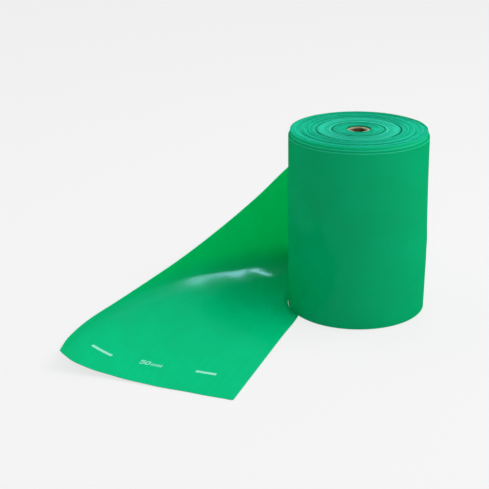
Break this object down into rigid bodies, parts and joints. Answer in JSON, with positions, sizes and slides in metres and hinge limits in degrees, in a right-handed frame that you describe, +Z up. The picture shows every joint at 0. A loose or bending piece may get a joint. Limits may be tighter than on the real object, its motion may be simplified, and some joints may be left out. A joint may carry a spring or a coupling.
{
  "type": "resistance band roll",
  "caption": "Standing dispenser roll of flat latex exercise band on a paperboard core, with its free end drawn off behind and laid flat beside it.",
  "frame": {"origin": "centre of the core's bore at its lower end, on the surface that the roll stands on", "axes": "+Z up the roll's axis; the laid tail's cut end lies towards -Y and its far edge towards -X"},
  "size_m": [0.2741, 0.2662, 0.15],
  "materials": {
    "core": "matt",
    "tape": "matt",
    "band": "satin, slightly translucent"
  },
  "bodies": {
    "tail": {"outer_turn": "band", "free_tail": "band"},
    "roll": {"core_tube": "core", "starter_tape": "tape", "wound_band": "band"}
  },
  "joints": [
    {"name": "roll_turn", "type": "hinge", "parent": "tail", "child": "roll", "pos_m": [0, 0, 0], "axis": [0, 0, 1], "continuous": true}
  ]
}
